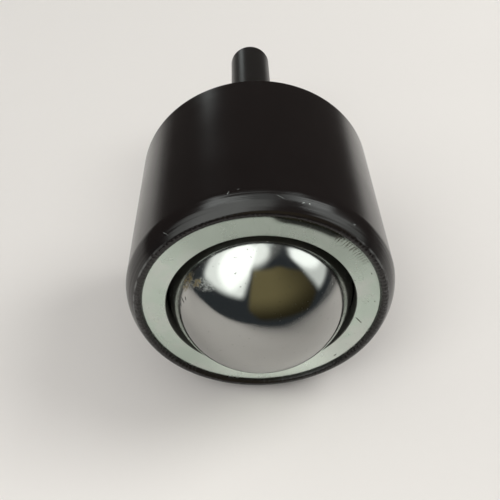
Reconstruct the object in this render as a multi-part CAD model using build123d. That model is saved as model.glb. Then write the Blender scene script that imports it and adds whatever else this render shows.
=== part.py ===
"""Ball transfer unit with a plain locating stud, in millimetres.

A large chrome ball runs on a bed of small steel balls in a hardened cup. The cup sits in a
turned, blackened steel housing. A zinc-plated ring keeps the ball in, and the housing's thin
rim is rolled over the ring's rounded edge, which holds ring and cup down together. A plain
stud is pressed by its slightly thicker end into a blind bore in the housing's flat back face.

Frame: the origin is the centre of the back face. +Z runs along the axis, out through the
load ball, and the stud points down -Z. Every piece but the small balls is a half section in
the XZ plane, drawn as (radius, height) points, revolved about +Z.
"""
from build123d import *
import math
import os

# Load ball, and the bed of small balls that it runs on
ball_dia = 31.75
support_ball_dia = 3.175
running_gap = 0.04
row_gap = 0.09
bed_headroom = 0.1

# Pressed cup under the bed
cup_wall = 1.2
fit_gap = 0.03

# Turned housing
housing_wall = 1.865
floor_thickness = 7.89
floor_web = 2.0
back_chamfer = 0.4
shoulder_width = 1.625
shoulder_height = 3.45
shoulder_crown = 0.26

# Rim of the housing, rolled in over the ring
lip_overhang = 0.96
lip_rise = 0.62
lip_outer_rise = 0.4
lip_edge_rise = 0.12

# Retaining ring
ball_retention = 0.36
ring_thickness = 2.869
ring_gap = 0.1
ring_edge_radius = 1.4
ring_bore_break = 0.2
ring_bore_chamfer = 0.3

# Stud
stud_dia = 9.525
stud_length = 50.8
stud_end_chamfer = 0.6
stud_end_gap = 0.4
pressed_end_step = 0.2
bore_mouth_chamfer = 0.3

# Rows of the bed, counted from the lowest, in which each ball has a node of its own
single_node_rows = (1, 2)

# Radii, from the load ball outwards
ball_radius = ball_dia / 2
support_radius = support_ball_dia / 2
bed_radius = ball_radius + running_gap + support_radius
race_radius = bed_radius + support_radius + running_gap
cup_radius = race_radius + cup_wall
pocket_radius = cup_radius + fit_gap
body_radius = pocket_radius + housing_wall
lip_outer_radius = body_radius - shoulder_width
lip_inner_radius = pocket_radius - lip_overhang
ring_radius = pocket_radius - fit_gap
ring_bore_radius = ball_radius - ball_retention
stud_radius = stud_dia / 2
pressed_end_radius = stud_radius + pressed_end_step
stud_bore_radius = pressed_end_radius + fit_gap

# Heights, from the back face upwards
stud_bore_depth = floor_thickness - floor_web
stud_seat_depth = stud_bore_depth - stud_end_gap
ball_height = floor_thickness + pocket_radius
ring_seat_height = ball_height + math.sqrt((ball_radius + ring_gap) ** 2 - ring_bore_radius**2)
face_height = ring_seat_height + ring_thickness
ring_edge_height = face_height - ring_edge_radius
lip_top_height = face_height + lip_outer_rise
shoulder_foot_height = lip_top_height - shoulder_height


def turned(*outline):
    """Revolve a closed outline of (radius, height) edges about the unit's axis."""
    with BuildPart() as piece:
        with BuildSketch(Plane.XZ):
            with BuildLine():
                add(outline)
            make_face()
        revolve(axis=Axis.Z)
    return piece.part


def straight(*points):
    """Straight edges from point to point."""
    return [Line(start, end) for start, end in zip(points, points[1:])]


def bowl(radius):
    """Quarter circle about the load ball's centre, from its equator down to the axis."""
    return CenterArc((0, ball_height), radius, 0, -90)


def make_housing():
    """Cup-shaped turning: blind stud bore below, pocket above, rim rolled over the ring."""
    crest_radius = (lip_inner_radius + lip_outer_radius) / 2
    seat_arc_radius = ring_edge_radius + fit_gap
    seat_arc_centre = pocket_radius - seat_arc_radius
    lip_reach = math.acos((lip_inner_radius - seat_arc_centre) / seat_arc_radius)
    lip_foot = (lip_inner_radius, ring_edge_height + seat_arc_radius * math.sin(lip_reach))
    lip_edge = (lip_inner_radius, face_height + lip_edge_rise)
    lip_crest = (crest_radius, face_height + lip_rise)
    lip_outer = (lip_outer_radius, lip_top_height)
    shoulder_foot = (body_radius, shoulder_foot_height)
    return turned(
        *straight(
            (0, stud_bore_depth),
            (stud_bore_radius, stud_bore_depth),
            (stud_bore_radius, bore_mouth_chamfer),
            (stud_bore_radius + bore_mouth_chamfer, 0),
            (body_radius - back_chamfer, 0),
            (body_radius, back_chamfer),
            shoulder_foot,
        ),
        SagittaArc(shoulder_foot, lip_outer, -shoulder_crown),
        ThreePointArc(lip_outer, lip_crest, lip_edge),
        Line(lip_edge, lip_foot),
        CenterArc((seat_arc_centre, ring_edge_height), seat_arc_radius, 0, math.degrees(lip_reach)),
        Line((pocket_radius, ring_edge_height), (pocket_radius, ball_height)),
        bowl(pocket_radius),
        Line((0, ball_height - pocket_radius), (0, stud_bore_depth)),
    )


def make_stud():
    """Plain stud: its thicker end fills the blind bore, and both ends are chamfered."""
    return turned(
        *straight(
            (0, stud_seat_depth),
            (pressed_end_radius - stud_end_chamfer, stud_seat_depth),
            (pressed_end_radius, stud_seat_depth - stud_end_chamfer),
            (pressed_end_radius, 0),
            (stud_radius, 0),
            (stud_radius, stud_end_chamfer - stud_length),
            (stud_radius - stud_end_chamfer, -stud_length),
            (0, -stud_length),
            (0, stud_seat_depth),
        )
    )


def make_cup():
    """Hardened cup of one wall: half a sphere with a short straight rim up to the ring."""
    return turned(
        bowl(race_radius),
        Line((0, ball_height - race_radius), (0, ball_height - cup_radius)),
        bowl(cup_radius),
        *straight(
            (cup_radius, ball_height),
            (cup_radius, ring_seat_height),
            (race_radius, ring_seat_height),
            (race_radius, ball_height),
        ),
    )


def make_retaining_ring():
    """Ring on the cup's rim, with a bore just smaller than the ball and a rounded outer edge."""
    flat_radius = ring_radius - ring_edge_radius
    return turned(
        *straight(
            (flat_radius, face_height),
            (ring_bore_radius + ring_bore_break, face_height),
            (ring_bore_radius, face_height - ring_bore_break),
            (ring_bore_radius, ring_seat_height + ring_bore_chamfer),
            (ring_bore_radius + ring_bore_chamfer, ring_seat_height),
            (ring_radius, ring_seat_height),
            (ring_radius, ring_edge_height),
        ),
        CenterArc((flat_radius, ring_edge_height), ring_edge_radius, 0, 90),
    )


def bed_place(angle, turn):
    """Place on the bed, at an angle up from straight down and a turn about the axis."""
    out = bed_radius * math.sin(angle)
    height = ball_height - bed_radius * math.cos(angle)
    return Pos(out * math.cos(turn), out * math.sin(turn), height)


def bed_rows():
    """Angle from straight down, and number of balls, of each row from the lowest up."""
    step = 2 * math.asin((support_ball_dia + row_gap) / (2 * bed_radius))
    top_height = ring_seat_height - bed_headroom - support_radius
    top_angle = math.acos(-(top_height - ball_height) / bed_radius)
    for row in range(1, int(top_angle / step) + 1):
        row_radius = bed_radius * math.sin(row * step)
        spread = 2 * math.asin((support_ball_dia + running_gap) / (2 * row_radius))
        yield row * step, int(2 * math.pi / spread)


def make_bed():
    """Small balls of the bed by node name, row by row, each row turned half a ball on."""
    nodes = {}
    for row, (angle, count) in enumerate(bed_rows(), start=1):
        balls = [
            bed_place(angle, 2 * math.pi * (place + row / 2) / count) * Sphere(support_radius)
            for place in range(count)
        ]
        if row in single_node_rows:
            nodes |= {f"bed_ball_{row}_{place}": ball for place, ball in enumerate(balls, start=1)}
        else:
            nodes[f"bed_row_{row}"] = Compound(children=balls)
    return nodes


def main():
    """Build every piece and write it to its own STEP file."""
    nodes = {
        "housing": make_housing(),
        "stud": make_stud(),
        "cup": make_cup(),
        "retaining_ring": make_retaining_ring(),
        "load_ball": Pos(0, 0, ball_height) * Sphere(ball_radius),
        "pole_ball": bed_place(0, 0) * Sphere(support_radius),
    }
    nodes |= make_bed()
    os.makedirs("parts", exist_ok=True)
    for name, shape in nodes.items():
        export_step(shape, f"parts/{name}.step")
    print(f"{len(nodes)} nodes, body {2 * body_radius:.3f} across, face at {face_height:.3f}")


main()
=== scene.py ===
"""Looks of a ball transfer unit: a chrome ball in a blackened steel housing, under a zinc ring.

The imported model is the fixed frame. Four turned or ground surfaces are worked out finely over it,
and the sealed inner pieces keep their own meshes. Sizes in the classes are millimetres, in the
frame's own axes: +Z out through the ball, and the unit lies on a table top on its +Y side.
"""
import logging
from collections.abc import Sequence
from dataclasses import dataclass, field
from enum import Enum
from functools import cached_property
from typing import Any

import bpy
import numpy as np
from mathutils import Matrix, Vector


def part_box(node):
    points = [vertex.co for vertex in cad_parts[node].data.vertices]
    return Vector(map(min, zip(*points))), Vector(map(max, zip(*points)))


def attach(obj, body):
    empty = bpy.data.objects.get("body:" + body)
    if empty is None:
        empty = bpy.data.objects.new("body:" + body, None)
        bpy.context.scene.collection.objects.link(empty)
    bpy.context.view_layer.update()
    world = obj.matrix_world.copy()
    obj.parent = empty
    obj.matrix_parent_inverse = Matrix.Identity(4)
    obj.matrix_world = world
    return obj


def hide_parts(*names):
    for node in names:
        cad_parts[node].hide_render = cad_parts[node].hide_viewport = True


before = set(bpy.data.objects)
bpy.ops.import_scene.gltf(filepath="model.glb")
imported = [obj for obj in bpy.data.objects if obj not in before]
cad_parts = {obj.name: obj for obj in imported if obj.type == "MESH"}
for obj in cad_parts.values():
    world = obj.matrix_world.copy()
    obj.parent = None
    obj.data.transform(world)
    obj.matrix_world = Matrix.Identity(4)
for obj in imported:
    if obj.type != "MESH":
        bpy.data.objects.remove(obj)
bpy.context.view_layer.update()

MM = 0.001
SAME_PLACE = 1e-6
SEGMENTS_ROUND = 288
TO_DEGREES = float(np.degrees(1.0))
NOISE_MIDDLE = 0.5
BROAD_SHARE = 0.6
Piece = bpy.types.Object
Material = bpy.types.Material
Colour = tuple[float, float, float]
Place = tuple[float, float, float]
Corner = tuple[float, float]
Span = tuple[float, float]
Band = tuple[float, float, float]
BLACK: Colour = (0.0, 0.0, 0.0)
log = logging.getLogger("ball_transfer_unit")


@dataclass(frozen=True)
class Signal:
    """One output of a shader node, with arithmetic that adds Math nodes."""

    paint: "Paint"
    socket: bpy.types.NodeSocket

    def __add__(self, other: "Number") -> "Signal":
        """Sum."""
        return self.paint.math("ADD", self, other)

    def __sub__(self, other: "Number") -> "Signal":
        """Difference."""
        return self.paint.math("SUBTRACT", self, other)

    def __rsub__(self, other: "Number") -> "Signal":
        """Difference, with a number first."""
        return self.paint.math("SUBTRACT", other, self)

    def __mul__(self, other: "Number") -> "Signal":
        """Product."""
        return self.paint.math("MULTIPLY", self, other)

    __radd__ = __add__
    __rmul__ = __mul__


Number = Signal | float


@dataclass(frozen=True)
class Grain:
    """A noise pattern: waves for each millimetre, the Noise node's other three values, and a cut.

    With a cut, the noise is made a smooth step from 0 at its first value to 1 at its second.
    """

    scale: float
    detail: float
    roughness: float
    distortion: float = 0.0
    cut: Span | None = None


class Paint:
    """A material's or the world's node tree, and the ways to add to it."""

    def __init__(self, tree: bpy.types.NodeTree) -> None:
        """Start on an emptied tree."""
        tree.nodes.clear()
        self.tree = tree

    def node(self, kind: str, settings: dict[str, Any] | None = None,
             inputs: dict[str | int, Any] | None = None) -> bpy.types.Node:
        """Add a node.

        Args:
            kind: Blender's name of the node's type.
            settings: Properties of the node, set before its sockets.
            inputs: Signals, numbers, vectors or colours by socket name or number.

        Returns:
            The new node.
        """
        made = self.tree.nodes.new(kind)
        for name, value in (settings or {}).items():
            setattr(made, name, value)
        for key, value in (inputs or {}).items():
            socket = made.inputs[key]
            if isinstance(value, Signal):
                self.tree.links.new(value.socket, socket)
            else:
                socket.default_value = (*value, 1.0) if socket.type == "RGBA" else value
        return made

    def signal(self, kind: str, settings: dict[str, Any] | None = None,
               inputs: dict[str | int, Any] | None = None, output: str | int = 0) -> Signal:
        """Add a node, as node does, and give the output of a name or number."""
        return Signal(self, self.node(kind, settings, inputs).outputs[output])

    def math(self, operation: str, *values: Number) -> Signal:
        """Add a Math node on one, two or three values."""
        return self.signal("ShaderNodeMath", {"operation": operation}, dict(enumerate(values)))

    def vector(self, operation: str, *values: Any, output: str = "Vector") -> Signal:
        """Add a Vector Math node on one or two vectors."""
        return self.signal("ShaderNodeVectorMath", {"operation": operation},
                           dict(enumerate(values)), output)

    def joined(self, x: Number, y: Number, z: Number) -> Signal:
        """A vector of three values."""
        return self.signal("ShaderNodeCombineXYZ", None, {"X": x, "Y": y, "Z": z})

    def parts(self, vector: Signal) -> tuple[Signal, Signal, Signal]:
        """The three values of a vector."""
        split = self.node("ShaderNodeSeparateXYZ", None, {"Vector": vector})
        return tuple(Signal(self, socket) for socket in split.outputs)

    def rise(self, value: Number, low: float, high: float) -> Signal:
        """Smooth step from 0 at low to 1 at high. It falls where low lies above high."""
        return self.signal("ShaderNodeMapRange", {"interpolation_type": "SMOOTHSTEP"},
                           {"Value": value, "From Min": low, "From Max": high})

    def band(self, value: Number, low: float, high: float, soft: float) -> Signal:
        """1 between low and high, and 0 outside, with soft edges centred on them."""
        start = self.rise(value, low - soft, low + soft)
        return start * self.rise(value, high + soft, high - soft)

    def blend(self, factor: Number, first: Any, second: Any) -> Signal:
        """Mix of two colours: first where the factor is 0, and second where it is 1."""
        return self.signal("ShaderNodeMix", {"data_type": "RGBA"},
                           {"Factor": factor, 6: first, 7: second}, 2)

    def noise(self, grain: Grain, at: Signal | None = None) -> Signal:
        """Noise from 0 to 1.

        Args:
            grain: Its pattern.
            at: A vector in millimetres, or else the place.

        Returns:
            The noise, cut where the grain says so.
        """
        noise = self.signal("ShaderNodeTexNoise", None, {
            "Vector": at or self.place, "Scale": grain.scale, "Detail": grain.detail,
            "Roughness": grain.roughness, "Distortion": grain.distortion}, "Fac")
        return self.rise(noise, *grain.cut) if grain.cut else noise

    def mottle(self, broad: Signal, fine: Signal) -> Signal:
        """Broad and fine noise in one, from 0 to 1."""
        return broad * BROAD_SHARE + fine * (1.0 - BROAD_SHARE)

    @cached_property
    def place(self) -> Signal:
        """Object coordinates in millimetres."""
        metres = self.signal("ShaderNodeTexCoord", output="Object")
        return self.vector("MULTIPLY", metres, (1 / MM,) * 3)

    @cached_property
    def xyz(self) -> tuple[Signal, Signal, Signal]:
        """The place's three values."""
        return self.parts(self.place)

    @cached_property
    def radius(self) -> Signal:
        """Distance from the axis in millimetres."""
        return self.vector("LENGTH", self.joined(*self.xyz[:2], 0.0), output="Value")

    @cached_property
    def turn(self) -> Signal:
        """Angle round the axis from +X in radians."""
        return self.math("ARCTAN2", self.xyz[1], self.xyz[0])

    def bump(self, height: Number, depth: float = 1.0) -> Signal:
        """Normal of a surface that rises by depth millimetres where the height is 1."""
        return self.signal("ShaderNodeBump", None,
                           {"Height": height, "Distance": depth * MM, "Strength": 1.0})

    def surface(self, shader: Signal) -> None:
        """Send a shader to the material's output."""
        self.node("ShaderNodeOutputMaterial", None, {"Surface": shader})

    def metal_or_paint(self, **inputs: Any) -> Signal:
        """A Principled shader. The names of its sockets have _ for a space."""
        named = {name.replace("_", " "): value for name, value in inputs.items()}
        return self.signal("ShaderNodeBsdfPrincipled", None, named)


def new_paint(name: str) -> tuple[Material, Paint]:
    """Make a material.

    Args:
        name: Its name.

    Returns:
        The material and the paint of its node tree.
    """
    material = bpy.data.materials.new(name)
    material.use_nodes = True
    return material, Paint(material.node_tree)


def dimmed(colour: Colour, share: float) -> Colour:
    """A share of a colour."""
    return tuple(share * value for value in colour)


class Lie(Enum):
    """The way that a mark's tilt turns it, from the direction round the axis."""

    SIDE = "towards +Z"
    FACE = "outwards"


@dataclass(frozen=True)
class Mark:
    """A nick, scratch or stain: an ellipsoid that the surface cuts.

    The place is an angle round +Z from +X in degrees, a radius and a height. The length lies along
    the surface, turned up from the direction round the axis by the tilt, and the width across it.
    """

    angle: float
    radius: float
    height: float
    length: float
    width: float
    tilt: float = 0.0
    lie: Lie = Lie.SIDE
    edge: Span = (1.1, 0.5)

    def mask(self, paint: Paint) -> Signal:
        """1 on the mark and 0 off it.

        Args:
            paint: The tree to add to.

        Returns:
            A smooth step of the distance from the centre, in half lengths and half widths.
        """
        turn, tilt = np.radians(self.angle), np.radians(self.tilt)
        out = np.array((np.cos(turn), np.sin(turn), 0.0))
        round_axis = np.array((-np.sin(turn), np.cos(turn), 0.0))
        axial = np.array((0.0, 0.0, 1.0))
        up, through = (axial, out) if self.lie is Lie.SIDE else (out, axial)
        along = round_axis * np.cos(tilt) + up * np.sin(tilt)
        across = up * np.cos(tilt) - round_axis * np.sin(tilt)
        axes = (along * 2 / self.length, across * 2 / self.width, through * 2 / self.length)
        centre = tuple(out * self.radius + axial * self.height)
        offset = paint.vector("SUBTRACT", paint.place, centre)
        steps = [paint.vector("DOT_PRODUCT", offset, tuple(axis), output="Value") for axis in axes]
        distance = paint.vector("LENGTH", paint.joined(*steps), output="Value")
        return paint.rise(distance, *self.edge)


def marked(paint: Paint, marks: Sequence[Mark]) -> Number:
    """The strongest of some marks at each place.

    Args:
        paint: The tree to add to.
        marks: The marks, or none.

    Returns:
        From 0 to 1.
    """
    strongest = 0.0
    for mark in marks:
        strongest = paint.math("MAXIMUM", strongest, mark.mask(paint))
    return strongest


@dataclass(frozen=True)
class Wear:
    """What one kind of dirt or wear, or the bore's painted shade, does where it lies.

    The cover is the share of its colour that shows, the roughness is added to the surface's, and
    the rise is its height in shares of the finish's relief.
    """

    cover: float
    roughness: float = 0.0
    rise: float = 0.0


@dataclass(frozen=True)
class RolledRim:
    """Creases and wear of black oxide on a rim that was rolled in."""

    high_from: Span = (34.6, 34.8)
    inside_from: Span = (20.6, 20.3)
    patches: Grain = Grain(0.7, 3.0, 0.65)
    flecks: Grain = Grain(2.2, 3.0, 0.7, cut=(0.42, 0.68))
    creases: float = 148.0
    crease_depth: float = 0.02
    crease_wander: float = 14.0
    crease_cut: Span = (0.2, 0.6)
    corner: Band = (20.5, 20.7, 0.07)
    corner_cut: Span = (0.36, 0.66)
    corner_wear: float = 0.45
    crest: Band = (19.85, 20.6, 0.1)
    crest_wear: float = 0.20
    crest_side: Span = (-12.0, 4.0)
    unworn_side: Span = (-17.0, -11.0)

    def wear(self, paint: Paint) -> tuple[Signal, Signal]:
        """Radial creases inside the rim's corner, and steel along the corner and the crest.

        Args:
            paint: The tree to add to.

        Returns:
            The steel that shows, from 0 to 1 and broken up by noise, and the creases' height in
            millimetres: a sine of the angle that wanders.
        """
        _, y, z = paint.xyz
        high = paint.rise(z, *self.high_from)
        patch = paint.noise(self.patches)
        crest = (paint.band(paint.radius, *self.crest) * paint.noise(self.flecks)
                 * paint.rise(y, *self.crest_side) * self.crest_wear)
        corner = (paint.band(paint.radius, *self.corner) * paint.rise(patch, *self.corner_cut)
                  * self.corner_wear)
        worn = paint.math("MAXIMUM", corner, crest) * high * paint.rise(y, *self.unworn_side)
        crease = paint.math("SINE", paint.turn * self.creases + patch * self.crease_wander)
        inside = paint.rise(paint.radius, *self.inside_from) * high
        return worn, crease * inside * paint.rise(patch, *self.crease_cut) * self.crease_depth


@dataclass(frozen=True)
class BlackOxide:
    """Oiled black oxide on turned steel: fine turning lines, faint blotches, a few bright nicks."""

    name: str = "black_oxide"
    dark: Colour = (0.0066, 0.0050, 0.0047)
    light: Colour = (0.0112, 0.0088, 0.0082)
    bare: Colour = (0.30, 0.31, 0.30)
    ior: float = 1.44
    roughness: float = 0.18
    roughness_spread: float = 0.10
    blotches: Grain = Grain(0.16, 4.0, 0.6)
    fine: Grain = Grain(2.6, 3.0, 0.6)
    lines: Grain = Grain(3.2, 3.0, 0.65)
    line_drift: float = 0.35
    line_depth: float = 0.004
    shoulder_from: Span = (31.6, 32.4)
    shoulder_roughness: float = -0.02
    shoulder_lines: Grain = Grain(1.9, 2.0, 0.6)
    shoulder_line_depth: float = 0.045
    shoulder_fine_depth: float = 0.018
    nick_cut: Span = (0.28, 0.5)
    nick_depth: float = 0.02
    marks: tuple[Mark, ...] = ()
    rim: RolledRim | None = None

    def material(self) -> Material:
        """Build the material.

        Returns:
            Turning lines are noise of radius and height, so they run round the axis.
        """
        material, paint = new_paint(self.name)
        z = paint.xyz[2]
        section = paint.joined(paint.radius, z, paint.turn * self.line_drift)
        lines = paint.noise(self.lines, section)
        coarse = paint.noise(self.shoulder_lines, section)
        blotch = paint.noise(self.blotches)
        fine = paint.noise(self.fine)
        worn, rim_height = self.rim.wear(paint) if self.rim else (0.0, 0.0)
        nick = marked(paint, self.marks) * paint.rise(fine, *self.nick_cut)
        bare = paint.math("MAXIMUM", nick, worn)
        colour = paint.blend(paint.mottle(blotch, fine), self.dark, self.light)
        colour = paint.blend(bare, colour, self.bare)
        shoulder = paint.rise(z, *self.shoulder_from)
        roughness = (self.roughness + (blotch - NOISE_MIDDLE) * self.roughness_spread
                     + (lines - NOISE_MIDDLE) * self.roughness_spread
                     + shoulder * self.shoulder_roughness)
        height = (lines * (shoulder * self.shoulder_fine_depth + self.line_depth)
                  + coarse * shoulder * self.shoulder_line_depth
                  - nick * self.nick_depth + rim_height)
        paint.surface(paint.metal_or_paint(
            Base_Color=colour, Metallic=bare, IOR=self.ior, Roughness=roughness,
            Normal=paint.bump(height)))
        return material


@dataclass(frozen=True)
class Scuffs:
    """Short radial strokes, in sets, in a band of angle round +Z and of radius."""

    angles: Band = (-152.0, -128.0, 1.5)
    stronger_from: Span = (-159.0, -138.0)
    inner: Span = (17.85, 18.45)
    outer: Span = (19.35, 19.15)
    pitch: float = 1.7
    sets: Grain = Grain(1.4, 3.0, 0.7)
    set_step: float = 0.35
    set_reach: float = 3.6
    wander: float = 12.0
    stroke_cut: Span = (-0.15, 0.45)
    rubbed_cut: Span = (0.40, 0.58)
    rubbed_least: float = 0.35

    def mask(self, paint: Paint, fine: Signal) -> Signal:
        """1 on a stroke and 0 off it.

        Args:
            paint: The tree to add to.
            fine: Fine noise, which breaks up the strokes.

        Returns:
            A wave of the angle whose phase wanders. Noise of the angle gives each set its reach.
        """
        degrees = paint.turn * TO_DEGREES
        reach = paint.noise(self.sets, paint.joined(degrees * self.set_step, 0.0, 0.0))
        turns = degrees * float(np.radians(360.0 / self.pitch))
        wave = paint.math("SINE", turns + reach * self.wander)
        reached = paint.radius + (reach - NOISE_MIDDLE) * self.set_reach
        kept = (paint.band(degrees, *self.angles) * paint.rise(reached, *self.inner)
                * paint.rise(paint.radius, *self.outer))
        rubbed = paint.rise(fine, *self.rubbed_cut) * (1.0 - self.rubbed_least) + self.rubbed_least
        strokes = paint.rise(wave, *self.stroke_cut) * kept
        return strokes * paint.rise(degrees, *self.stronger_from) * rubbed


@dataclass(frozen=True)
class ZincPlate:
    """Bright zinc plate with a greenish cast, rolled smooth, with scuffs near the outer edge."""

    name: str = "zinc_plate"
    clean: Colour = (0.645, 0.748, 0.672)
    dull: Colour = (0.535, 0.610, 0.537)
    grey: Colour = (0.690, 0.708, 0.678)
    grey_grain: Grain = Grain(0.14, 3.0, 0.6, cut=(0.42, 0.62))
    grey_cover: float = 0.6
    # Painted shade: the top of the ring's face is darker, standing in for a dim reflection there.
    painted_shade_top: Colour = (0.400, 0.455, 0.405)
    painted_shade_top_angles: Band = (-150.0, -48.0, 14.0)
    painted_shade_top_cover: float = 0.75
    # Painted light: the lower part of the ring's face is brighter, standing in for a brighter
    # reflection there.
    bright: Colour = (0.890, 0.990, 0.910)
    painted_light_below_angles: Band = (58.0, 128.0, 18.0)
    stain: Colour = (0.11, 0.10, 0.08)
    # Painted shade: a dark colour laid on the pressed edge, standing in for a dark reflection, and
    # in the bore, standing in for the shade in the gap by the ball.
    painted_shade: Colour = (0.070, 0.068, 0.058)
    roughness: float = 0.26
    relief: float = 0.012
    clouds: Grain = Grain(0.35, 4.0, 0.6)
    cloud: Wear = Wear(0.0, 0.14, 0.5)
    peel_grain: Grain = Grain(1.5, 2.0, 0.5)
    peel_rise: float = 0.7
    fine_grain: Grain = Grain(4.5, 3.0, 0.7)
    fine_rise: float = 0.12
    specks: Grain = Grain(2.6, 2.0, 0.6, cut=(0.69, 0.74))
    speck_cover: float = 0.45
    scuffs: Scuffs = Scuffs()
    scuff: Wear = Wear(0.9, 0.1, -0.9)
    marks: tuple[Mark, ...] = ()
    mark: Wear = Wear(0.8, 0.2, -0.6)
    pressed_angles: Band = (-129.0, -99.0, 5.0)
    pressed_radii: Span = (17.8, 20.3)
    pressed_depth: float = 0.40
    # The pressed edge gets painted shade, the dark colour, over this cut and cover.
    shaded_cut: Span = (0.03, 0.20)
    shaded_cover: float = 0.85
    bore_from: Span = (15.675, 15.575)
    # Painted shade in the bore: mostly the dark colour, rougher and less metallic.
    bore: Wear = Wear(0.92, 0.15)
    bore_hides_metal: float = 0.8

    def material(self) -> Material:
        """Build the material.

        Returns:
            The face has painted shade at the top and painted light below, standing in for a dimmer
            and a brighter reflection, falls off to a pressed edge with painted shade, and the bore
            carries painted shade.
        """
        material, paint = new_paint(self.name)
        degrees = paint.turn * TO_DEGREES
        cloud = paint.noise(self.clouds)
        peel = paint.noise(self.peel_grain)
        fine = paint.noise(self.fine_grain)
        speck = paint.noise(self.specks)
        scuff = self.scuffs.mask(paint, fine)
        mark = marked(paint, self.marks)
        stain = speck * self.speck_cover + mark * self.mark.cover + scuff * self.scuff.cover
        bore = paint.rise(paint.radius, *self.bore_from)
        pressed = (paint.band(degrees, *self.pressed_angles)
                   * paint.rise(paint.radius, *self.pressed_radii))
        grey = paint.noise(self.grey_grain)
        painted_shade_top = paint.band(degrees, *self.painted_shade_top_angles)
        colour = paint.blend(paint.mottle(cloud, fine), self.clean, self.dull)
        colour = paint.blend(grey * self.grey_cover, colour, self.grey)
        # Painted shade: darker towards the top of the face.
        colour = paint.blend(painted_shade_top * self.painted_shade_top_cover, colour, self.painted_shade_top)
        # Painted light: brighter towards the bottom of the face.
        colour = paint.blend(paint.band(degrees, *self.painted_light_below_angles), colour, self.bright)
        # Painted shade on the pressed edge.
        shaded = paint.rise(pressed, *self.shaded_cut) * self.shaded_cover
        colour = paint.blend(shaded, colour, self.painted_shade)
        colour = paint.blend(paint.math("MINIMUM", stain, 1.0), colour, self.stain)
        # Painted shade in the bore, in the gap by the ball.
        colour = paint.blend(bore * self.bore.cover, colour, self.painted_shade)
        roughness = (self.roughness + (cloud - NOISE_MIDDLE) * self.cloud.roughness
                     + mark * self.mark.roughness + scuff * self.scuff.roughness
                     + bore * self.bore.roughness)
        height = (peel * self.peel_rise + cloud * self.cloud.rise + fine * self.fine_rise
                  + scuff * self.scuff.rise + mark * self.mark.rise)
        height = height * self.relief - pressed * self.pressed_depth
        paint.surface(paint.metal_or_paint(
            Base_Color=colour, Metallic=1.0 - bore * self.bore_hides_metal, Roughness=roughness,
            Normal=paint.bump(height)))
        return material


@dataclass(frozen=True)
class MirrorChrome:
    """Mirror-polished chrome steel under a coat of oil: smears, specks, dashes and one stain."""

    name: str = "mirror_chrome"
    clean: Colour = (0.43, 0.43, 0.415)
    smeared: Colour = (0.387, 0.387, 0.3735)
    dirt: Colour = (0.06, 0.06, 0.055)
    grease: Colour = (0.36, 0.37, 0.34)
    stain: Colour = (0.26, 0.19, 0.07)
    roughness: float = 0.068
    relief: float = 0.004
    oily_from: Span = (38.2, 36.0)
    oily_side: Span = (-8.5, -4.5)
    oily_least: float = 0.35
    oily_roughness: float = 0.115
    fine_grain: Grain = Grain(1.6, 3.0, 0.65)
    fine_rise: float = 0.5
    smears: Grain = Grain(0.22, 4.0, 0.6, cut=(0.45, 0.75))
    smear: Wear = Wear(0.3, 0.03)
    specks: Grain = Grain(2.2, 1.0, 0.5, cut=(0.735, 0.76))
    speck: Wear = Wear(0.5, 0.2)
    dashes: tuple[Mark, ...] = ()
    dash: Wear = Wear(0.9, 0.25, -1.0)
    smudges: tuple[Mark, ...] = ()
    curls: Grain = Grain(4.8, 3.0, 0.7, 1.0, (0.50, 0.62))
    smudge: Wear = Wear(0.8, 0.22, 1.5)
    stains: tuple[Mark, ...] = ()
    crumbs: Grain = Grain(2.2, 4.0, 0.8, 0.2, (0.42, 0.56))
    blot: Wear = Wear(0.9, 0.35, -0.6)

    def material(self) -> Material:
        """Build the material.

        Returns:
            The oil is thicker close above the ring, and most so towards the table.
        """
        material, paint = new_paint(self.name)
        _, y, z = paint.xyz
        side = paint.rise(y, *self.oily_side) * (1.0 - self.oily_least) + self.oily_least
        oily = paint.rise(z, *self.oily_from) * side
        fine = paint.noise(self.fine_grain)
        smear = paint.noise(self.smears)
        speck = paint.noise(self.specks)
        dash = marked(paint, self.dashes)
        smudge = marked(paint, self.smudges) * paint.noise(self.curls)
        blot = marked(paint, self.stains) * paint.noise(self.crumbs)
        dirt = paint.math("MINIMUM", dash * self.dash.cover + speck * self.speck.cover, 1.0)
        colour = paint.blend(smear * self.smear.cover, self.clean, self.smeared)
        colour = paint.blend(dirt, colour, self.dirt)
        colour = paint.blend(smudge * self.smudge.cover, colour, self.grease)
        colour = paint.blend(blot * self.blot.cover, colour, self.stain)
        roughness = self.roughness + oily * self.oily_roughness
        for worn, wear in ((smear, self.smear), (dash, self.dash), (blot, self.blot),
                           (speck, self.speck), (smudge, self.smudge)):
            roughness = roughness + worn * wear.roughness
        height = (fine * self.fine_rise + dash * self.dash.rise + blot * self.blot.rise
                  + smudge * self.smudge.rise)
        paint.surface(paint.metal_or_paint(
            Base_Color=colour, Metallic=1.0, Roughness=roughness,
            Normal=paint.bump(height, self.relief)))
        return material


@dataclass(frozen=True)
class HiddenSteel:
    """Steel of the sealed inner pieces: polished small balls, or the ground cup."""

    name: str
    light: Colour
    dark: Colour
    roughness: float
    roughness_spread: float = 0.08
    grain: Grain = Grain(1.8, 4.0, 0.6)
    relief: float = 0.003

    def material(self) -> Material:
        """Build the material.

        Returns:
            Two greys and two roughnesses blended by fine noise.
        """
        material, paint = new_paint(self.name)
        grain = paint.noise(self.grain)
        paint.surface(paint.metal_or_paint(
            Base_Color=paint.blend(grain, self.light, self.dark), Metallic=1.0,
            Roughness=self.roughness + grain * self.roughness_spread,
            Normal=paint.bump(grain, self.relief)))
        return material


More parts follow.
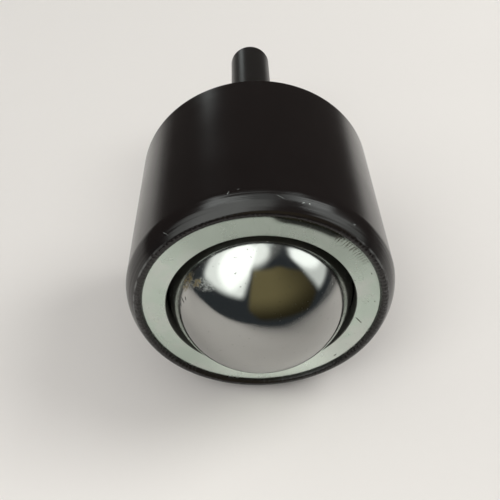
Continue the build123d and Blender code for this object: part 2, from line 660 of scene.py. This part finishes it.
class Outline:
    """Half section of a turned piece: points (radius, height), with the steel on their left."""

    shading_band = 0.16
    crown_steps = 20

    def __init__(self) -> None:
        """Start with no points."""
        self.runs: list[np.ndarray] = []

    def line(self, *corners: Corner) -> "Outline":
        """Straight runs from corner to corner.

        Args:
            corners: Their points.

        Returns:
            The outline itself. Each run has a point close to each end, so that smooth shading
            turns only there.
        """
        ends = np.array(corners)
        for start, end in zip(ends, ends[1:]):
            length = np.linalg.norm(end - start)
            near = min(self.shading_band, length / 3)
            shares = np.array((0.0, near, length - near, length)) / length
            self.runs.append(start + shares[:, None] * (end - start))
        return self

    def arc(self, centre: Corner, radius: float, start: float, end: float,
            steps: int = 24) -> "Outline":
        """A round run.

        Args:
            centre: Its centre.
            radius: Its radius.
            start: First angle in degrees.
            end: Last angle.
            steps: Number of points.

        Returns:
            The outline itself. A point is centre plus radius times (cos, sin) of its angle.
        """
        angles = np.radians(np.linspace(start, end, steps))
        self.runs.append(np.array(centre) + radius * np.stack((np.cos(angles), np.sin(angles)), 1))
        return self

    def crowned(self, start: Corner, end: Corner, crown: float) -> "Outline":
        """A run that bulges to the right of its travel.

        Args:
            start: First point.
            end: Last point.
            crown: Height of the bulge at the middle.

        Returns:
            The outline itself. The run is the chord plus 4 t (1 - t) crown across it.
        """
        first, last = np.array(start), np.array(end)
        chord = last - first
        right = np.array((chord[1], -chord[0])) / np.linalg.norm(chord)
        share = np.linspace(0, 1, self.crown_steps)[:, None]
        self.runs.append(first + share * chord + 4 * share * (1 - share) * crown * right)
        return self

    def points(self) -> np.ndarray:
        """Join the runs.

        Returns:
            All points in millimetres, without the ones that repeat.
        """
        every = np.concatenate(self.runs)
        step = np.linalg.norm(np.diff(every, axis=0), axis=1)
        return every[np.concatenate(([True], step > SAME_PLACE))]


@dataclass(frozen=True)
class EdgeBreak:
    """How sharp edges of a turned piece are rounded, by Blender's Bevel."""

    width: float = 0.07
    segments: int = 3
    angle: float = 18.0

    def apply_to(self, piece: Piece) -> None:
        """Add the modifier.

        Args:
            piece: The turned piece.
        """
        bevel = piece.modifiers.new("edge_break", "BEVEL")
        bevel.width = self.width * MM
        bevel.segments = self.segments
        bevel.limit_method = "ANGLE"
        bevel.angle_limit = float(np.radians(self.angle))


def piece_from(name: str, points: np.ndarray, faces: list[list[int]]) -> Piece:
    """Make a smooth-shaded object at the origin.

    Args:
        name: Name of the piece.
        points: Vertices in millimetres.
        faces: Vertex numbers of each face, counter-clockwise from outside.

    Returns:
        The object, in the scene.
    """
    mesh = bpy.data.meshes.new(name)
    mesh.from_pydata((points * MM).tolist(), [], faces)
    mesh.update()
    mesh.shade_smooth()
    piece = bpy.data.objects.new(name, mesh)
    bpy.context.scene.collection.objects.link(piece)
    return piece


def turned(name: str, outline: Outline) -> Piece:
    """Revolve an outline: x = r cos a, y = r sin a, z = h for each of its points and each angle a.

    Args:
        name: Name of the piece.
        outline: Starts and ends on the axis, or comes back to its own start.

    Returns:
        The piece, with closed seam and poles.
    """
    section, segments = outline.points(), SEGMENTS_ROUND
    closed = bool(np.linalg.norm(section[0] - section[-1]) < SAME_PLACE)
    rings = section[:-1] if closed else section[1:-1]
    angles = np.linspace(0, 2 * np.pi, segments, endpoint=False)
    radius, height = rings[:, :1], rings[:, 1:]
    grid = np.stack((radius * np.cos(angles), radius * np.sin(angles),
                     np.broadcast_to(height, (len(rings), segments))), -1).reshape(-1, 3)
    rows = len(rings) if closed else len(rings) - 1
    i, j = np.meshgrid(np.arange(rows), np.arange(segments), indexing="ij")
    up, on = (i + 1) % len(rings), (j + 1) % segments
    here, beyond = i * segments, up * segments
    quads = np.stack((here + j, here + on, beyond + on, beyond + j), -1)
    faces = quads.reshape(-1, 4).tolist()
    if not closed:
        poles = np.array([(0, 0, section[0][1]), (0, 0, section[-1][1])])
        first, last = len(grid), len(grid) + 1
        around, onward = np.arange(segments), (np.arange(segments) + 1) % segments
        top = (len(rings) - 1) * segments
        faces += np.stack((np.full(segments, first), onward, around), -1).tolist()
        faces += np.stack((np.full(segments, last), top + around, top + onward), -1).tolist()
        grid = np.concatenate((grid, poles))
    return piece_from(name, grid, faces)


@dataclass
class Housing:
    """Turned and blackened housing, whose rim is rolled in over the ring, and its stud."""

    back_chamfer: float = 0.4
    shoulder_width: float = 1.625
    shoulder_height: float = 3.45
    shoulder_crown: float = 0.26
    lip_width: float = 1.2
    lip_edge_drop: float = 0.5
    lip_outer_drop: float = 0.22
    lip_foot_drop: float = 0.31
    seat_drop: float = 1.4
    seat_crown: float = -0.2
    pocket_steps: int = 40
    wall: float = 1.865
    floor: float = 7.89
    floor_web: float = 2.0
    bore_radius: float = 4.9925
    mouth_chamfer: float = 0.3
    stud_radius: float = 4.7625
    stud_chamfer: float = 0.6
    finish: BlackOxide = field(default_factory=lambda: BlackOxide(rim=RolledRim()))
    stud_finish: BlackOxide = field(default_factory=lambda: BlackOxide(
        name="black_oxide_ground", dark=(0.0095, 0.0086, 0.0080),
        light=(0.0150, 0.0137, 0.0127), roughness=0.30))

    def __post_init__(self) -> None:
        """Read the reach of the pieces from the frame."""
        _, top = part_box("housing")
        _, ring_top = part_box("retaining_ring")
        stud_low, stud_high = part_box("stud")
        self.radius = top.x / MM
        self.crest = top.z / MM
        self.face = ring_top.z / MM
        self.stud_end, self.stud_seat = stud_low.z / MM, stud_high.z / MM
        self.pressed_radius = stud_high.x / MM

    def housing_outline(self) -> Outline:
        """Half section of the housing.

        Returns:
            Blind bore, back face, side, crowned shoulder, rolled rim and round-bottomed pocket.
            The rim's bulge brings its crest to the frame's height.
        """
        pocket = self.radius - self.wall
        centre = self.floor + pocket
        outer = (self.radius - self.shoulder_width, self.crest - self.lip_outer_drop)
        inner = (outer[0] - self.lip_width, self.crest - self.lip_edge_drop)
        foot = (self.radius, outer[1] - self.shoulder_height)
        depth = self.floor - self.floor_web
        outline = Outline().line(
            (0, depth), (self.bore_radius, depth), (self.bore_radius, self.mouth_chamfer),
            (self.bore_radius + self.mouth_chamfer, 0), (self.radius - self.back_chamfer, 0),
            (self.radius, self.back_chamfer), foot)
        outline.crowned(foot, outer, self.shoulder_crown)
        outline.crowned(outer, inner, self.crest - (outer[1] + inner[1]) / 2)
        lip_foot = (inner[0], self.face - self.lip_foot_drop)
        seat_foot = (pocket, self.face - self.seat_drop)
        outline.line(inner, lip_foot).crowned(lip_foot, seat_foot, self.seat_crown)
        outline.line(seat_foot, (pocket, centre))
        return outline.arc((0, centre), pocket, 0, -90, self.pocket_steps)

    def stud_outline(self) -> Outline:
        """Half section of the stud.

        Returns:
            Chamfered tip, plain stud and the thicker pressed end.
        """
        chamfer = self.stud_chamfer
        return Outline().line(
            (0, self.stud_end), (self.stud_radius - chamfer, self.stud_end),
            (self.stud_radius, self.stud_end + chamfer), (self.stud_radius, 0),
            (self.pressed_radius, 0), (self.pressed_radius, self.stud_seat - chamfer),
            (self.pressed_radius - chamfer, self.stud_seat), (0, self.stud_seat))

    def build(self) -> list[Piece]:
        """Make and dress the housing and the stud.

        Returns:
            Both pieces.
        """
        made = []
        for node, outline, finish in (("housing", self.housing_outline(), self.finish),
                                      ("stud", self.stud_outline(), self.stud_finish)):
            piece = turned(f"{node}_turned", outline)
            EdgeBreak().apply_to(piece)
            piece.data.materials.append(finish.material())
            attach(piece, "housing")
            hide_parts(node)
            made.append(piece)
        return made


@dataclass
class RetainingRing:
    """Zinc-plated ring with a rounded outer edge under the rim and a broken bore edge."""

    edge_radius: float = 1.4
    bore_radius: float = 15.515
    bore_break: float = 0.1
    bore_chamfer: float = 0.3
    edge_break: float = 0.05
    finish: ZincPlate = field(default_factory=ZincPlate)

    def outline(self) -> Outline:
        """Closed section of the ring.

        Returns:
            From the foot of the outer wall upwards, and back through the bore.
        """
        low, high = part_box("retaining_ring")
        seat, face, radius = low.z / MM, high.z / MM, high.x / MM
        flat = radius - self.edge_radius
        edge = face - self.edge_radius
        bore = self.bore_radius
        outline = Outline().line((radius, seat), (radius, edge))
        return outline.arc((flat, edge), self.edge_radius, 0, 90).line(
            (flat, face), (bore + self.bore_break, face), (bore, face - self.bore_break),
            (bore, seat + self.bore_chamfer), (bore + self.bore_chamfer, seat), (radius, seat))

    def build(self) -> list[Piece]:
        """Make and dress the ring.

        Returns:
            The one piece.
        """
        piece = turned("retaining_ring_plated", self.outline())
        EdgeBreak(width=self.edge_break).apply_to(piece)
        piece.data.materials.append(self.finish.material())
        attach(piece, "housing")
        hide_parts("retaining_ring")
        return [piece]


@dataclass
class LoadBall:
    """The large polished ball."""

    cells: int = 72
    merged_digits: int = 6
    finish: MirrorChrome = field(default_factory=MirrorChrome)

    def build(self) -> list[Piece]:
        """Make and dress the ball.

        Returns:
            One piece. Each side of a cube is a grid at tan(u), tan(v) for u and v from -45 to 45
            degrees, pushed out to the ball's radius, and the sides' shared edges are merged.
        """
        low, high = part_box("load_ball")
        centre = np.array((low + high) / 2) / MM
        radius = (high.z - low.z) / 2 / MM
        reach = np.tan(np.radians(np.linspace(-45, 45, self.cells + 1)))
        u, v = np.meshgrid(reach, reach, indexing="ij")
        one = np.ones_like(u)
        sides = [np.stack(side, -1) for side in (
            (one, u, v), (-one, v, u), (v, one, u), (u, -one, v), (u, v, one), (v, u, -one))]
        points = np.stack(sides).reshape(-1, 3)
        points = points / np.linalg.norm(points, axis=1, keepdims=True)
        i, j = np.meshgrid(np.arange(self.cells), np.arange(self.cells), indexing="ij")
        row = self.cells + 1
        here, beyond = i * row + j, (i + 1) * row + j
        cell = np.stack((here, beyond, beyond + 1, here + 1), -1)
        starts = (np.arange(len(sides)) * row * row)[:, None, None]
        quads = (cell.reshape(1, -1, 4) + starts).reshape(-1, 4)
        _, first, merged = np.unique(points.round(self.merged_digits), axis=0,
                                     return_index=True, return_inverse=True)
        faces = merged.reshape(-1)[quads].tolist()
        piece = piece_from("load_ball_polished", points[first] * radius + centre, faces)
        piece.data.materials.append(self.finish.material())
        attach(piece, "load_ball")
        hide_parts("load_ball")
        return [piece]


@dataclass
class SealedInside:
    """Cup and small balls, which keep the meshes of the frame."""

    cup: HiddenSteel = HiddenSteel("ground_cup_steel", (0.46, 0.45, 0.43), (0.34, 0.33, 0.32), 0.3)
    balls: HiddenSteel = HiddenSteel("small_ball_steel", (0.66, 0.66, 0.65),
                                     (0.58, 0.58, 0.58), 0.06)

    def build(self) -> list[Piece]:
        """Dress the cup and the small balls.

        Returns:
            The frame's own objects of them.
        """
        cup, balls = self.cup.material(), self.balls.material()
        dressed = []
        for name, node in sorted(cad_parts.items()):
            if name in ("housing", "stud", "retaining_ring", "load_ball"):
                continue
            node.data.materials.clear()
            node.data.materials.append(cup if name == "cup" else balls)
            dressed.append(node)
        return dressed


@dataclass(frozen=True)
class Opening:
    """A plain patch of the room that gloss shows, such as a window.

    Its corners are (azimuth, elevation) in degrees as the unit sees them, anticlockwise. Azimuth
    turns from +Z towards +X, and elevation rises from the table top towards -Y.
    """

    colour: Colour
    soft: float
    corners: tuple[Corner, ...]

    def mask(self, paint: Paint, azimuth: Signal, elevation: Signal) -> Signal:
        """Product of soft steps across the lines from corner to corner.

        Args:
            paint: The tree to add to.
            azimuth: Azimuth looked in, in degrees.
            elevation: Elevation looked in, in degrees.

        Returns:
            1 inside all the lines and 0 outside.
        """
        mask = None
        for (az, el), (next_az, next_el) in zip(self.corners, self.corners[1:] + self.corners[:1]):
            length = float(np.hypot(next_az - az, next_el - el))
            across, up = (el - next_el) / length, (next_az - az) / length
            inward = azimuth * across + elevation * up - (az * across + el * up)
            step = paint.rise(inward, -self.soft, self.soft)
            mask = step if mask is None else mask * step
        return mask


class LampKind(Enum):
    """How a lamp's light reaches the unit."""

    SUN = "SUN"
    AREA = "AREA"


@dataclass(frozen=True)
class Lamp:
    """A soft lamp, aimed at the unit from an azimuth and elevation in degrees.

    Its distance is in metres. Its size is a sun's angle in degrees, or a disk's width in metres.
    """

    name: str
    kind: LampKind
    azimuth: float
    elevation: float
    distance: float
    size: float
    strength: float
    colour: Colour

    def build(self, target: Vector) -> None:
        """Hang the lamp.

        Args:
            target: The point it faces, in metres.
        """
        turn, lift = np.radians(self.azimuth), np.radians(self.elevation)
        way = Vector((np.sin(turn) * np.cos(lift), -np.sin(lift), np.cos(turn) * np.cos(lift)))
        light = bpy.data.lights.new(self.name, self.kind.value)
        if self.kind is LampKind.SUN:
            light.angle = float(np.radians(self.size))
        else:
            light.shape = "DISK"
            light.size = self.size
        light.energy = self.strength
        light.color = self.colour
        hung = bpy.data.objects.new(self.name, light)
        hung.location = target + way * self.distance
        hung.rotation_mode = "QUATERNION"
        hung.rotation_quaternion = (-way).to_track_quat("-Z", "Y")
        hung.visible_camera = False
        hung.visible_glossy = False
        bpy.context.scene.collection.objects.link(hung)


@dataclass
class TableTop:
    """Pale laminate under the unit, which fades into the room where gloss sees its ends."""

    colour: Colour = (0.795, 0.762, 0.718)
    mottle: float = 0.96
    # Painted light: the table's colour is paler towards the front left, a painted pool of light.
    light: Colour = (0.92, 0.88, 0.83)
    painted_light_from: Span = (15.0, 120.0)
    painted_light_turn: float = 0.6
    grain: Grain = Grain(0.5, 4.0, 0.6)
    clouds: Grain = Grain(0.02, 3.0, 0.5)
    relief: float = 0.01
    roughness: float = 0.6
    ior: float = 1.4
    # Painted shadow for gloss: the table is darker as gloss sees it, a little everywhere and more
    # in front of the unit, as if the viewer stood in its light.
    dimmer: float = 0.08
    front_painted_shadow: float = 0.14
    front_painted_shadow_from: Span = (24.0, 62.0)
    reach: float = 4000.0
    front: Span = (35.0, 160.0)
    middle: Span = (70.0, 215.0)
    middle_slope: float = 1.2
    left: Span = (130.0, 235.0)
    left_slope: float = 0.24
    ends: tuple[tuple[str, float, float, float], ...] = (
        ("z", -60.0, -260.0, 0.72), ("z", -300.0, -1100.0, 1.0),
        ("x", -70.0, -170.0, 0.78), ("x", -170.0, -600.0, 1.0), ("x", 140.0, 1000.0, 1.0))

    def build(self) -> None:
        """Lay the table top against the unit's +Y side: one face that only its front shows.

        It is paler towards the front left, a painted pool of light. Gloss sees it a little darker,
        with a painted shadow in front of the unit, and fading into the room at its ends and its
        front, which lies straight on the right and steps forward in two slopes on the left.
        """
        _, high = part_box("housing")
        y, reach = high.y / MM, self.reach
        corners = np.array([(-reach, y, -reach), (reach, y, -reach), (reach, y, reach),
                            (-reach, y, reach)])
        table = piece_from("table_top", corners, [[0, 1, 2, 3]])
        material, paint = new_paint("pale_laminate")
        x, _, z = paint.xyz
        grain = paint.noise(self.grain)
        cloud = paint.noise(self.clouds)
        glossy = paint.signal("ShaderNodeLightPath", output="Is Glossy Ray")
        mottled = paint.blend(paint.mottle(cloud, grain), self.colour,
                              dimmed(self.colour, self.mottle))
        # Painted light: paler towards the front left.
        light = paint.rise(z + x * self.painted_light_turn, *self.painted_light_from)
        colour = paint.blend(light, mottled, self.light)
        # Painted shadow: gloss sees the table darker, most in front of the unit.
        front_painted_shadow = paint.rise(z, *self.front_painted_shadow_from) * self.front_painted_shadow
        colour = paint.blend(glossy * (front_painted_shadow + self.dimmer), colour, BLACK)
        front = paint.metal_or_paint(
            Base_Color=colour, Roughness=self.roughness, IOR=self.ior,
            Normal=paint.bump(grain, self.relief))
        back = paint.signal("ShaderNodeNewGeometry", output="Backfacing")
        middle = paint.rise(z - x * self.middle_slope, *self.middle)
        left = paint.rise(z - x * self.left_slope, *self.left)
        stepped = paint.math("MAXIMUM", middle, left)
        stays = 1.0 - paint.math("MINIMUM", paint.rise(z, *self.front), stepped)
        for axis, start, end, share in self.ends:
            stays = stays * (1.0 - paint.rise(x if axis == "x" else z, start, end) * share)
        gone = paint.math("MAXIMUM", back, glossy * (1.0 - stays))
        clear = paint.signal("ShaderNodeBsdfTransparent")
        paint.surface(paint.signal("ShaderNodeMixShader", None, {0: gone, 1: front, 2: clear}))
        table.data.materials.append(material)


@dataclass
class Studio:
    """Table top, soft lamps, the room that gloss shows and the camera.

    The lamps' target and the camera's near clip are in metres.
    """

    table: TableTop = field(default_factory=TableTop)
    backdrop: Colour = (0.80, 0.76, 0.72)
    ambient: Colour = (0.33, 0.33, 0.335)
    room: Colour = (0.043, 0.050, 0.055)
    back_room: Colour = (0.060, 0.054, 0.050)
    back_room_from: Span = (0.1, -0.2)
    ceiling: Colour = (0.225, 0.235, 0.225)
    ceiling_from: Span = (60.0, 70.0)
    zenith: Colour = (1.05, 1.14, 1.11)
    zenith_from: Span = (70.0, 80.0)
    wall: Opening = Opening((0.243, 0.207, 0.10), 4.0, (
        (2, -4), (14, 8), (12, 56), (-40, 53), (-64, 33), (-67, 3), (-52, -8)))
    wall_shade: float = 0.16
    wall_lit_up: Span = (-5.0, 26.0)
    wall_lit_round: Span = (-72.0, -12.0)
    wall_lit_least: float = 0.25
    openings: tuple[Opening, ...] = (
        Opening((1.80, 1.90, 1.82), 9.0, (
            (-12, 61), (20, 56), (20, 104), (-64, 104), (-60, 80), (-42, 70))),
        Opening((1.62, 1.71, 1.64), 5.0, ((22, 21), (78, 18), (94, 44), (98, 60), (16, 52))),
        Opening((2.45, 2.58, 2.48), 6.0, (
            (25, 23), (44, 23), (68, 34), (85, 56), (91, 83), (4, 83), (2, 72), (18, 50))),
        Opening((3.60, 3.80, 3.70), 5.0, ((96, 52), (129, 52), (129, 88), (90, 88))),
        Opening((1.10, 1.17, 1.12), 4.5, (
            (-80, 3), (-70.5, 3), (-65.5, 36), (-69, 54), (-92, 44), (-95, 9))),
        Opening((2.20, 2.32, 2.25), 5.0, (
            (-84, 18), (-71, 29), (-67, 48), (-80, 58), (-92, 46), (-93, 18))),
        Opening((2.1, 2.25, 2.2), 4.0, ((-100, 48), (-98, 66), (-128, 72), (-128, 54))),
        Opening((4.0, 4.2, 4.1), 4.5, ((-92, 37), (-90, 56), (-108, 62), (-108, 33))),
        Opening((2.10, 2.24, 2.20), 3.0, ((165, 4), (165, 18), (157.5, 18), (157.5, 4))),
    )
    lamps: tuple[Lamp, ...] = (
        Lamp("window_light_left", LampKind.SUN, 42.0, 50.0, 1.0, 40.0, 0.98, (0.97, 0.99, 1.0)),
        Lamp("ceiling_light", LampKind.SUN, 20.0, 80.0, 1.0, 60.0, 0.37, (1.0, 0.98, 0.96)),
        Lamp("front_light", LampKind.SUN, 8.0, 24.0, 1.0, 50.0, 0.26, (1.0, 1.0, 0.98)),
        Lamp("window_light_right", LampKind.AREA, -100.0, 42.0, 0.8, 0.5, 3.4, (0.99, 1.0, 1.0)),
    )
    lamp_target: Place = (0.0, 0.0, 0.02)
    camera_place: Place = (0.0, -78.92, 106.73)
    camera_forward: Place = (0.0132, 0.6768, -0.7360)
    camera_right: Place = (-0.9988, 0.0432, 0.0218)
    lens: float = 46.92
    clip_start: float = 0.002

    def build_world(self) -> None:
        """Pale for the camera, a dim even light for matt surfaces and the room for gloss.

        Elevation is arcsin(-y) and azimuth is atan2(x, z) of the direction looked in.
        """
        world = bpy.data.worlds.new("studio_room")
        world.use_nodes = True
        bpy.context.scene.world = world
        world.cycles.sampling_method = "NONE"
        paint = Paint(world.node_tree)
        x, y, z = paint.parts(paint.signal("ShaderNodeTexCoord", output="Generated"))
        elevation = paint.math("ARCSINE", y * -1.0) * TO_DEGREES
        azimuth = paint.math("ARCTAN2", x, z) * TO_DEGREES
        seen = paint.blend(paint.rise(z, *self.back_room_from), self.room, self.back_room)
        seen = paint.blend(paint.rise(elevation, *self.ceiling_from), seen, self.ceiling)
        across = (paint.rise(azimuth, *self.wall_lit_round) * (1.0 - self.wall_lit_least)
                  + self.wall_lit_least)
        lit = paint.rise(elevation, *self.wall_lit_up) * across
        wall = paint.blend(lit, dimmed(self.wall.colour, self.wall_shade), self.wall.colour)
        seen = paint.blend(self.wall.mask(paint, azimuth, elevation), seen, wall)
        seen = paint.blend(paint.rise(elevation, *self.zenith_from), seen, self.zenith)
        for opening in self.openings:
            seen = paint.blend(opening.mask(paint, azimuth, elevation), seen, opening.colour)
        glossy = paint.signal("ShaderNodeLightPath", output="Is Glossy Ray")
        camera = paint.signal("ShaderNodeLightPath", output="Is Camera Ray")
        colour = paint.blend(camera, paint.blend(glossy, self.ambient, seen), self.backdrop)
        background = paint.signal("ShaderNodeBackground", None, {"Color": colour, "Strength": 1.0})
        paint.node("ShaderNodeOutputWorld", None, {"Surface": background})

    def build_camera(self) -> None:
        """Stand the camera in front of the ball, where the photograph was taken from."""
        camera = bpy.data.cameras.new("camera")
        camera.lens = self.lens
        camera.clip_start = self.clip_start
        back = -Vector(self.camera_forward).normalized()
        right = Vector(self.camera_right)
        right = (right - right.dot(back) * back).normalized()
        turn = Matrix((right, back.cross(right), back)).transposed().to_4x4()
        stand = bpy.data.objects.new("camera", camera)
        stand.matrix_world = Matrix.Translation(Vector(self.camera_place) * MM) @ turn
        bpy.context.scene.collection.objects.link(stand)
        bpy.context.scene.camera = stand

    def build(self) -> None:
        """Set up everything that isn't part of the unit, and Blender's plain view transform."""
        self.table.build()
        self.build_world()
        for lamp in self.lamps:
            lamp.build(Vector(self.lamp_target))
        self.build_camera()
        bpy.context.scene.view_settings.view_transform = "Standard"


NICKS = (
    Mark(-83.5, 22.2, 31.9, 0.35, 0.2, 15.0),
    Mark(-99.2, 21.7, 33.4, 1.3, 0.10, -24.0),
    Mark(-79.6, 22.14, 32.3, 0.7, 0.25, 60.0),
    Mark(-108.2, 21.61, 33.8, 0.5, 0.16, 25.0),
    Mark(-110.6, 21.63, 33.75, 0.35, 0.2, -30.0),
    Mark(-50.5, 21.3, 34.4, 1.2, 0.13, -50.0),
    Mark(-131.5, 21.52, 34.0, 0.5, 0.25, 20.0),
)
RING_FACE = 34.93
RING_MARKS = tuple(
    Mark(angle, radius, RING_FACE, length, width, tilt, Lie.FACE)
    for angle, radius, length, width, tilt in (
        (165.8, 16.60, 2.0, 0.30, -50.0), (164.2, 17.20, 0.40, 0.34, 0.0),
        (133.7, 18.26, 0.8, 0.3, 0.0), (-159.0, 18.67, 0.5, 0.19, 10.0),
        (-179.1, 18.46, 0.28, 0.27, 0.0), (-179.0, 17.41, 0.20, 0.20, 0.0),
        (-160.1, 15.85, 0.30, 0.22, 0.0)))
BALL_STAINS = (
    Mark(-36.6, 13.75, 36.1, 4.4, 1.7, 12.0),
    Mark(-42.8, 13.0, 37.3, 2.2, 1.4, 0.0),
)
BALL_DASHES = (
    Mark(-22.5, 13.16, 37.12, 1.4, 0.27, 71.0),
    Mark(-26.0, 12.94, 37.44, 0.8, 0.28, 45.0),
    Mark(-17.7, 13.22, 37.02, 0.9, 0.27, 36.0),
)
BALL_SMUDGES = (
    Mark(-46.5, 12.5, 38.0, 4.4, 2.2, -40.0),
    Mark(-38.0, 13.2, 37.0, 2.6, 1.6, 0.0),
)


def main() -> None:
    """Build every piece in order, then the studio."""
    logging.basicConfig(level=logging.INFO, format="%(message)s")
    assemblies = (
        Housing(finish=BlackOxide(marks=NICKS, rim=RolledRim())),
        RetainingRing(finish=ZincPlate(marks=RING_MARKS)),
        LoadBall(finish=MirrorChrome(stains=BALL_STAINS, smudges=BALL_SMUDGES, dashes=BALL_DASHES)),
        SealedInside(),
    )
    for assembly in assemblies:
        for piece in assembly.build():
            faces = len(piece.data.polygons)
            log.info("%s: %s, %d faces", type(assembly).__name__, piece.name, faces)
    Studio().build()


if __name__ == "__main__":
    main()
